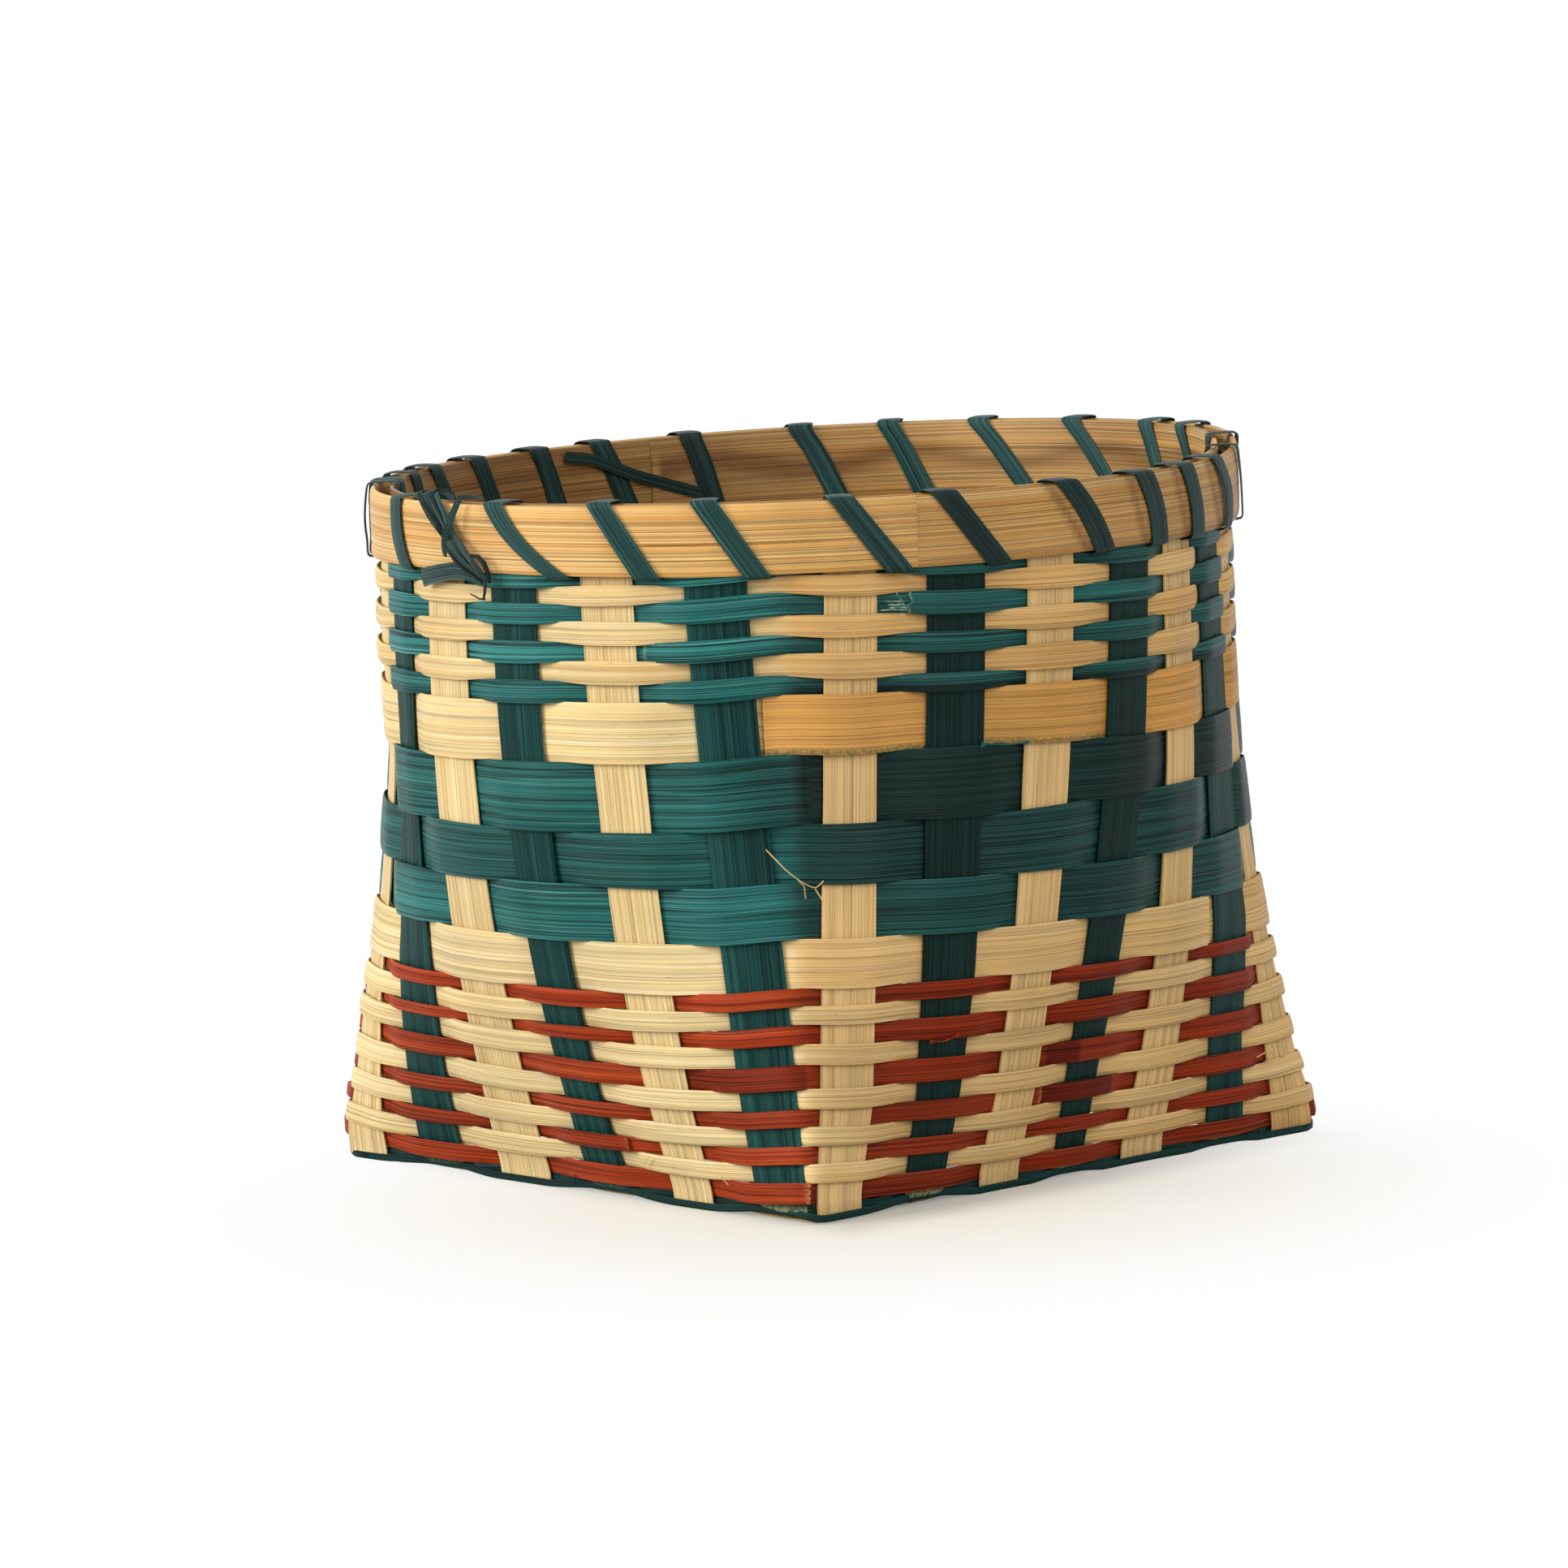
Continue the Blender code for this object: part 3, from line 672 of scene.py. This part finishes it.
# The outer hoop darkens from the front corner on round the right-hand side: painted shade of the side turned
# from the window lamp. It is also darker just beside each wrap, most on that side, and along a line just
# past its joint.
shade_and_grime = np.interp(at, [0.9, 1.2, 1.45, 1.6, 2, 4], [0, 0.2, 0.27, 0.36, 0.3, 0.05]) + 0 * share
for top_turn, foot_turn in wraps[:, :2]:
    beside_wrap = at - (top_turn + (foot_turn - top_turn) * (1 - share)) + 0.028
    shade_and_grime = np.maximum(shade_and_grime, (0.7 if 1.4 < top_turn < 1.85 else 0.12) * bell(beside_wrap, 0.014))
shade_and_grime = np.maximum(shade_and_grime, 0.6 * bell(at - 1.1985, 0.0025))
loop, faces, along = strip_solid(
    middle, hoop_thickness, 310, crown=0.00015, ridge=0.00004, share=share, groove=0.0006 * crack)
make_piece("hoop_outside", loop, faces, hoop_bamboo, ["rim_hoop_outer"], along,
           both_faces(np.maximum(shade_and_grime, crack)))

share = np.linspace(0, 1, 25)
middle, turn = hoop_middle(-hoop_out, inner_joint, share)
at = turn[:, None] % 4
shade = np.interp(at, [0, 0.3, 1.9, 2.3, 2.9, 3.4, 4], [0.76, 0.62, 0.22, 0.22, 0.50, 0.72, 0.80])
band = 0.45 * bell(share - 0.55 - wander(turn, 79, 0.08)[:, None], 0.14) * (at < 3.3)
patchy = wander(turn, 77, 0.12)[:, None] + wander(share * 3, 78, 0.10)[None, :]
loop, faces, along = strip_solid(middle, hoop_thickness, 320, crown=-0.0005, ridge=0.00004)
make_piece("hoop_inside", loop, faces, hoop_bamboo, ["rim_hoop_inner"], along,
           both_faces(np.clip(shade + band + patchy, 0, 0.9)))

# Lashing: one long green strip wound over both hoops. It goes down the outside on a slant, through
# the gap under the hoops, and up the inside, twenty-six times round.

lash_width = 0.0064
lash_thickness = 0.0004
lash_out = 0.0040
lash_clear = 0.0008  # room over and under the hoops
lash_rise = 0.0008  # how far a wrap stands out where a hoop's ends overlap
turn_length = 0.167  # a fourth of the rim's length, one turn
lash_green = split_bamboo(
    "lashing_bamboo", [(0.011, 0.047, 0.045), (0.020, 0.083, 0.078), (0.040, 0.14, 0.13)],
    stain_and_shade_colour=(0.012, 0.022, 0.018), raw=(0.30, 0.34, 0.30), painted_glint=(0.12, 0.25, 0.23),
    roughness=0.45, depth=0.6, gloss=0.11)


def lash_middle(table, wide=7):
    """The lashing's middle surface: for each wrap a rounded box round the hoops, its turn moving on.

    On the outside a wrap slants from its top turn to its foot turn, bowed sideways and standing off
    the hoop by a half sine. On the inside it slants on to the next wrap's top. The strip narrows
    where it is wound round the two ends of the rim.
    """
    corner = 0.035
    down = (0.80, 0.60, 0.40, 0.20)
    rise = np.array([1 - corner, 1, 1, 1 - corner, *down, corner, 0, 0, corner, 0.3, 0.7])
    stand = np.array([-1, -0.82, 0.82, 1, 1, 1, 1, 1, 1, 0.82, -0.82, -1, -1, -1]) * lash_out
    step = np.arange(len(rise))
    following = np.append(table[1:, 0], table[-1, 0] + 0.12)
    knots = []
    for (top_turn, foot_turn, bow, loose), next_top in zip(table, following):
        top = np.where(step > 9, next_top, top_turn)
        belly = np.where((step >= 2) & (step <= 9), np.sin(np.pi * rise), 0)
        turn = top + (foot_turn - top) * (1 - rise) + bow * belly
        knots.append(np.column_stack([turn, stand + 0.001 * loose * belly, rise]))
    knots = np.concatenate(knots)
    place = np.arange(0, len(knots) - 1, 0.3)
    turn, out, rise = (np.interp(place, np.arange(len(knots)), knots[:, i]) for i in range(3))
    for _ in range(2):
        for line in (turn, out, rise):
            line[1:-1] = (line[:-2] + 2 * line[1:-1] + line[2:]) / 4
    out = out + lash_rise * np.where(out > 0.003, hoop_lap(turn - 0.015, outer_joint), 0)
    out = out - lash_rise * np.where(out < -0.003, hoop_lap(turn - 0.015, inner_joint), 0)
    high, low = level_line(hoop_tops, turn) + lash_clear, level_line(hoop_feet, turn) - lash_clear
    narrow = 1 - 0.45 * (np.minimum(np.abs(turn - 1.96), np.abs(turn - 4.04)) < 0.05)
    width = lash_width * (1 + wander(place / 12, 400, 0.06)) * narrow
    across = turn[:, None] + (width / turn_length)[:, None] * np.linspace(-0.5, 0.5, wide)
    height = low + (high - low) * rise
    out = out + wander(place / 9, 401, 0.00008)
    return wall(across, height[:, None], out[:, None]), turn % 4


middle, turn = lash_middle(wraps)
loop, faces, along = strip_solid(middle, lash_thickness, 410, crown=0.00008)
# The wraps are darker on the right-hand near side and on the back left: painted shade where they are turned
# from the lamps.
painted_shade_stretch = smooth((turn - 1.02) / 0.25) - smooth((turn - 2.1) / 0.2)
painted_shade_stretch = painted_shade_stretch + smooth((turn - 2.95) / 0.2) * (turn < 3.97)
stain_and_shade = np.clip(0.15 + 0.5 * painted_shade_stretch + wander(turn, 402, 0.1), 0, 1)
make_piece("rim_lashing_strip", loop, faces, lash_green, ["rim_lashing"], along,
           stain_and_shade[:, None] * np.ones(loop.shape[1]))

# Knot: the lashing's last wrap, split into wrinkled strands, crossed over itself, tucked and folded.
# The strip's other end hangs loose inside the rim, behind the wraps.


def laid_ribbon(points, width, spin=0.0, samples=60, wide=5):
    """A narrow strip along a smoothed line of (turn, height, out) points, its width turned by spin.

    The width may be one number or several, spaced evenly along the line. The spin fades at both ends.
    """
    points = np.asarray(points, float)
    place = np.linspace(0, len(points) - 1, samples)
    line = np.stack([np.interp(place, np.arange(len(points)), points[:, i]) for i in range(3)], -1)
    for _ in range(3):
        line[1:-1] = (line[:-2] + line[1:-1] * 2 + line[2:]) / 4
    ahead = np.gradient(line * (turn_length, 1, 1), axis=0)
    ahead /= np.linalg.norm(ahead, axis=1, keepdims=True)
    share = np.linspace(0, 1, samples)
    angle = spin * np.sin(np.pi * share) ** 0.35
    width = np.interp(share, np.linspace(0, 1, np.size(width)), np.atleast_1d(width))
    sideways = np.stack([-ahead[:, 1] * np.cos(angle), ahead[:, 0] * np.cos(angle), np.sin(angle)], -1)
    across = sideways[:, None] * width[:, None, None] * np.linspace(-0.5, 0.5, wide)[None, :, None]
    grid = line[:, None] + across / (turn_length, 1, 1)
    return wall(grid[..., 0], grid[..., 1], grid[..., 2])


# For each strand: its (turn, height, out) points, its widths and its spin.
knot_strands = [
    ([(4.36, 0.1560, -0.0042), (4.39, 0.166, -0.0046), (4.405, 0.1745, -0.0042), (4.408, 0.1764, -0.001),
      (4.412, 0.1770, 0.0030), (4.417, 0.1765, 0.0050), (4.430, 0.1748, 0.0056), (4.443, 0.1727, 0.0058),
      (4.456, 0.1701, 0.0058), (4.469, 0.1678, 0.0058), (4.476, 0.1658, 0.0056), (4.478, 0.1633, 0.0050)],
     (0.0048, 0.0048, 0.0048, 0.0026), -0.95),
    ([(4.394, 0.1768, 0.0010), (4.406, 0.1767, 0.0062), (4.428, 0.1743, 0.0073), (4.446, 0.1716, 0.0074),
      (4.461, 0.1687, 0.0070), (4.469, 0.1656, 0.0062)], (0.0014, 0.0011), -1.2),
    ([(4.412, 0.1772, 0.0008), (4.423, 0.1766, 0.0054), (4.443, 0.1743, 0.0062), (4.459, 0.1712, 0.0063),
      (4.473, 0.1683, 0.0063), (4.483, 0.1655, 0.0060)], (0.0010, 0.0012), -0.6),
    ([(4.438, 0.1772, 0.0006), (4.437, 0.1766, 0.0044), (4.450, 0.1747, 0.0051), (4.464, 0.1720, 0.0054),
      (4.475, 0.1692, 0.0058), (4.485, 0.1663, 0.0060)], (0.0013, 0.0011), -0.9),
    ([(4.539, 0.1758, 0.0036), (4.520, 0.1762, 0.0044), (4.499, 0.1761, 0.0048), (4.497, 0.1750, 0.0054),
      (4.492, 0.1722, 0.0064), (4.488, 0.1691, 0.0073), (4.479, 0.1666, 0.0072), (4.470, 0.1640, 0.0066),
      (4.460, 0.1612, 0.0052)], (0.0007, 0.0016, 0.0018, 0.0014), -0.8),
    ([(4.470, 0.1670, 0.0060), (4.485, 0.1645, 0.0064), (4.500, 0.1622, 0.0066), (4.515, 0.1601, 0.0066),
      (4.531, 0.1583, 0.0062), (4.543, 0.1567, 0.0056), (4.547, 0.1554, 0.0046)], (0.0022, 0.0017), -0.9),
    ([(4.463, 0.1655, 0.0054), (4.478, 0.1626, 0.0058), (4.497, 0.1599, 0.0062), (4.516, 0.1578, 0.0060),
      (4.533, 0.1562, 0.0056), (4.541, 0.1548, 0.0046)], (0.0018, 0.0014), -1.3),
    ([(4.482, 0.1672, 0.0056), (4.502, 0.1648, 0.0062), (4.515, 0.1625, 0.0064), (4.528, 0.1603, 0.0064),
      (4.539, 0.1581, 0.0060), (4.546, 0.1560, 0.0050)], (0.0013, 0.0013), -0.6),
    ([(4.494, 0.1604, 0.0048), (4.517, 0.1616, 0.0058), (4.538, 0.1616, 0.0062), (4.551, 0.1600, 0.0062),
      (4.555, 0.1575, 0.0056), (4.550, 0.1550, 0.0044)], (0.0013, 0.0013), -1.0),
    ([(4.388, 0.1551, 0.0040), (4.422, 0.1562, 0.0046), (4.453, 0.1571, 0.0048), (4.480, 0.1577, 0.0048),
      (4.503, 0.1574, 0.0046), (4.522, 0.1566, 0.0038)], (0.0046, 0.0040), 0.2),
    ([(4.545, 0.1558, 0.0048), (4.545, 0.1542, 0.0050), (4.542, 0.1524, 0.0048), (4.537, 0.1509, 0.0044)],
     (0.0009, 0.0006), -0.5),
    ([(4.540, 0.1508, 0.0044), (4.530, 0.1509, 0.0046), (4.518, 0.1516, 0.0046), (4.507, 0.1519, 0.0040)],
     (0.0005, 0.0003), 0.5),
]
dark_strands = (2, 3, 7, 8, 11, 12)
knot_green = split_bamboo(
    "knot_bamboo", [(0.009, 0.036, 0.034), (0.017, 0.070, 0.066), (0.034, 0.12, 0.11)],
    stain_and_shade_colour=(0.012, 0.022, 0.018), raw=(0.30, 0.34, 0.30), painted_glint=(0.25, 0.42, 0.36),
    roughness=0.42, depth=0.85, gloss=0.16, straight=3)
for number, (points, width, spin) in enumerate(knot_strands, start=1):
    ribbon = laid_ribbon(points, width, spin)
    loop, faces, along = strip_solid(ribbon, lash_thickness, 420 + number, crown=0.00005)
    make_piece(f"knot_strand_{number}", loop, faces, knot_green,
               ["lashing_knot"] if number == 1 else [], along,
               np.full(loop.shape[:2], 0.75 if number in dark_strands else 0.3))

tail = [
    (3.475, 0.1725, -0.0050), (3.42, 0.171, -0.0056), (3.34, 0.1655, -0.0052), (3.22, 0.159, -0.0048),
]
loop, faces, along = strip_solid(laid_ribbon(tail, 0.0031), lash_thickness, 440)
make_piece("lashing_tail", loop, faces, lash_green, [], along,
           np.full(loop.shape[:2], 0.75))

# Loose fibres: hairs and splinters that have sprung from the strips' edges and torn ends, each as long
# and as fine as the real one. They are the same bamboo and still hang on the strips they came from.

fibre_thickness = 0.00022


def bundle(strips):
    """Several strip solids as one mesh: points end to end, faces numbered on."""
    starts = np.cumsum([0] + [loop.shape[0] * loop.shape[1] for loop, _, _ in strips])
    points = np.concatenate([loop.reshape(-1, 3) for loop, _, _ in strips])
    faces = np.concatenate([faces + start for (_, faces, _), start in zip(strips, starts)])
    return points, faces, np.concatenate([along.reshape(-1, 3) for _, _, along in strips])


# For each group: bamboo, slot, stain, wear, and lines of (turn, height, out) points with a width.
fibres = {
    "pale_hairs": (straw, "straw_bamboo", 0.5, 0.0, [
        ([(0.967, 0.0890, 0.0022), (0.991, 0.0851, 0.0034), (1.008, 0.0816, 0.0038), (1.032, 0.0792, 0.0034),
          (1.046, 0.0808, 0.0026)], 0.00035),
        ([(1.008, 0.0816, 0.0038), (1.017, 0.0800, 0.0036), (1.018, 0.0768, 0.0026)], 0.00030),
        ([(1.032, 0.0792, 0.0034), (1.040, 0.0772, 0.0028), (1.044, 0.0758, 0.0022)], 0.00025),
        ([(0.673, 0.0079, 0.0020), (0.694, 0.0106, 0.0028)], 0.00030),
        ([(0.832, 0.0083, 0.0020), (0.842, 0.0073, 0.0030), (0.845, 0.0060, 0.0022)], 0.00030),
        ([(1.884, 0.0195, 0.0024), (1.900, 0.0208, 0.0036), (1.916, 0.0198, 0.0036), (1.918, 0.0181, 0.0030),
          (1.901, 0.0181, 0.0024)], 0.00035),
    ]),
    "dark_hairs": (green, "green_bamboo", 0.8, 0.0, [
        ([(0.507, 0.0024, 0.0010), (0.516, 0.0008, 0.0030), (0.523, 0.0004, 0.0040)], 0.00030),
        ([(0.389, 0.1573, 0.0052), (0.404, 0.1580, 0.0058)], 0.00030),
    ]),
    "torn_splinters": (teal, "green_bamboo", 0.2, 0.8, [
        ([(1.1638, 0.1499, 0.0030), (1.1703, 0.1482, 0.0027), (1.1779, 0.1462, 0.0021)], 0.00035),
        ([(1.1714, 0.1474, 0.0030), (1.1609, 0.1474, 0.0027), (1.1490, 0.1475, 0.0021)], 0.0004),
        ([(1.1753, 0.1466, 0.0030), (1.1642, 0.1465, 0.0027), (1.1535, 0.1468, 0.0021)], 0.00045),
        ([(1.1786, 0.1457, 0.0030), (1.1676, 0.1460, 0.0027), (1.1557, 0.1459, 0.0021)], 0.00045),
        ([(1.1791, 0.1452, 0.0030), (1.1628, 0.1455, 0.0027), (1.1428, 0.1455, 0.0021)], 0.00045),
        ([(1.1775, 0.1459, 0.0030), (1.1689, 0.1468, 0.0027), (1.1592, 0.1461, 0.0021)], 0.00025),
    ]),
    "teal_sliver": (teal, "green_bamboo", 0.0, 0.0, [
        ([(1.287, 0.1107, 0.0018), (1.326, 0.1101, 0.0022), (1.362, 0.1101, 0.0020)], 0.0014),
    ]),
    "red_splinter": (red, "red_bamboo", 0.0, 0.0, [
        ([(1.208, 0.0388, 0.0018), (1.229, 0.0388, 0.0028), (1.254, 0.0398, 0.0022)], 0.0014),
    ]),
}
for name, (material, slot, depth, wear, lines) in fibres.items():
    points, faces, along = bundle([
        strip_solid(laid_ribbon(line, width, spin=1.5, samples=24, wide=3), fibre_thickness, 600 + number)
        for number, (line, width) in enumerate(lines)
    ])
    make_piece(name, points, faces, material, [], along,
               np.full(len(points), depth), np.full(len(points), wear))

# Floor: a wide sheet of pale paper. In a narrow band round the foot its glow is dimmed, a painted
# shadow that deepens the basket's own shadow there, and further off it runs out to white.

floor_mesh = bpy.data.meshes.new("floor")
floor_mesh.from_pydata([(-6, -6, 0), (6, -6, 0), (6, 6, 0), (-6, 6, 0)], [], [(0, 1, 2, 3)])
floor = bpy.data.objects.new("floor", floor_mesh)
bpy.context.scene.collection.objects.link(floor)
paper = bpy.data.materials.new("paper_floor")
floor_mesh.materials.append(paper)
paper.use_nodes = True
nodes = paper.node_tree.nodes
lit = nodes["Principled BSDF"]
lit.inputs["Base Color"].default_value = (0.345, 0.31, 0.255, 1)
lit.inputs["Roughness"].default_value = 0.9
lit.inputs["Specular IOR Level"].default_value = 0.1


def seen_ray(nodes):
    """1 for rays from the camera, a mirror or glass, and 0 for the light that falls on the basket."""
    rays = nodes.new("ShaderNodeLightPath")
    camera_ray, glass_ray, mirror_ray = (
        rays.outputs[f"Is {kind} Ray"] for kind in ("Camera", "Transmission", "Glossy"))
    return reckoned(nodes, "MAXIMUM", reckoned(nodes, "MAXIMUM", camera_ray, glass_ray), mirror_ray)


floor_place = nodes.new("ShaderNodeTexCoord")
axes = nodes.new("ShaderNodeSeparateXYZ")
join(nodes, floor_place.outputs["Object"], axes.inputs[0])
to_side, to_back = (reckoned(nodes, "ABSOLUTE", axes.outputs[axis]) for axis in (0, 1))
square_reach = reckoned(nodes, "MAXIMUM", to_side, reckoned(nodes, "ADD", to_back, 0.013))
# Near the foot the camera sees only half the glow: a painted shadow in a band round the foot.
unshaded = rescaled(nodes, square_reach, 0.5, 1.0, foot_half + 0.003, foot_half + 0.024, "SMOOTHSTEP")
glow = nodes.new("ShaderNodeEmission")
glow.inputs["Color"].default_value = (0.50, 0.492, 0.44, 1)
join(nodes, reckoned(nodes, "MULTIPLY", unshaded, seen_ray(nodes)), glow.inputs["Strength"])
near = nodes.new("ShaderNodeAddShader")
join(nodes, lit.outputs[0], near.inputs[0])
join(nodes, glow.outputs[0], near.inputs[1])
radius = nodes.new("ShaderNodeVectorMath")
radius.operation = "DISTANCE"
radius.inputs[1].default_value = (0.065, -0.044, 0)
join(nodes, floor_place.outputs["Object"], radius.inputs[0])
away = rescaled(nodes, radius.outputs["Value"], 0.0, 1.0, 0.02, 0.180, "SMOOTHSTEP")
white = nodes.new("ShaderNodeEmission")
final = nodes.new("ShaderNodeMixShader")
join(nodes, reckoned(nodes, "MULTIPLY", away, seen_ray(nodes)), final.inputs["Fac"])
join(nodes, near.outputs[0], final.inputs[1])
join(nodes, white.outputs[0], final.inputs[2])
join(nodes, final.outputs[0], nodes["Material Output"].inputs["Surface"])

# Light: a pale room that lights the basket evenly and shows as white, a soft window lamp at the
# camera's left, and a weaker soft lamp at its right.

world = bpy.data.worlds.new("studio")
bpy.context.scene.world = world
world.use_nodes = True
nodes = world.node_tree.nodes
background = nodes["Background"]
background.inputs["Color"].default_value = (1, 1, 1, 1)
join(nodes, rescaled(nodes, seen_ray(nodes), 0.64, 1.0), background.inputs["Strength"])
lamp_aim = (0, 0, 0.09)


def set_down(thing, right, up, back, place):
    """Puts a lamp or a camera in its place, turned to its three axes. It looks away from back."""
    bpy.context.scene.collection.objects.link(thing)
    thing.matrix_world = Matrix([[right[i], up[i], back[i], place[i]] for i in range(3)] + [[0, 0, 0, 1]])


def soft_lamp(name, place, size, power):
    """A square lamp that faces the middle of the basket."""
    lamp = bpy.data.lights.new(name, "AREA")
    lamp.size = size
    lamp.energy = power
    back = np.array(place) - lamp_aim
    back /= np.linalg.norm(back)
    right = np.cross((0, 0, 1), back)
    right /= np.linalg.norm(right)
    set_down(bpy.data.objects.new(name, lamp), right, np.cross(back, right), back, place)


soft_lamp("window_light", (-0.75, -1.70, 0.85), 1.1, 36)
soft_lamp("right_fill", (1.75, -0.55, 0.9), 1.2, 16)

# Camera: a long lens at the photograph's place, looking a little down on the front corner. Its
# angles are in radians, and the lens and its shift are given in the photograph's pixels.

camera_distance = 1.87
camera_drop = 0.1184
camera_roll = 0.0351
camera_yaw = -0.8226
aim_height = 0.085 + wall_lift
frame_width = 1932
focal_pixels = 8993.15
middle_pixel = (1007.904, 995.495)
sensor_width = 36
up = np.array([0, 0, 1])
level_ahead = np.array([np.sin(camera_yaw), np.cos(camera_yaw), 0])
level_right = np.array([np.cos(camera_yaw), -np.sin(camera_yaw), 0])
ahead = level_ahead * np.cos(camera_drop) - up * np.sin(camera_drop)
above = level_ahead * np.sin(camera_drop) + up * np.cos(camera_drop)
right = level_right * np.cos(camera_roll) - above * np.sin(camera_roll)
above = above * np.cos(camera_roll) + level_right * np.sin(camera_roll)
lens = bpy.data.cameras.new("camera")
lens.sensor_width = sensor_width
lens.lens = sensor_width * focal_pixels / frame_width
lens.shift_x = (frame_width / 2 - middle_pixel[0]) / frame_width
lens.shift_y = (middle_pixel[1] - frame_width / 2) / frame_width
camera = bpy.data.objects.new("camera", lens)
set_down(camera, right, above, -ahead, up * aim_height - ahead * camera_distance)
bpy.context.scene.camera = camera
bpy.context.scene.view_settings.view_transform = "Standard"
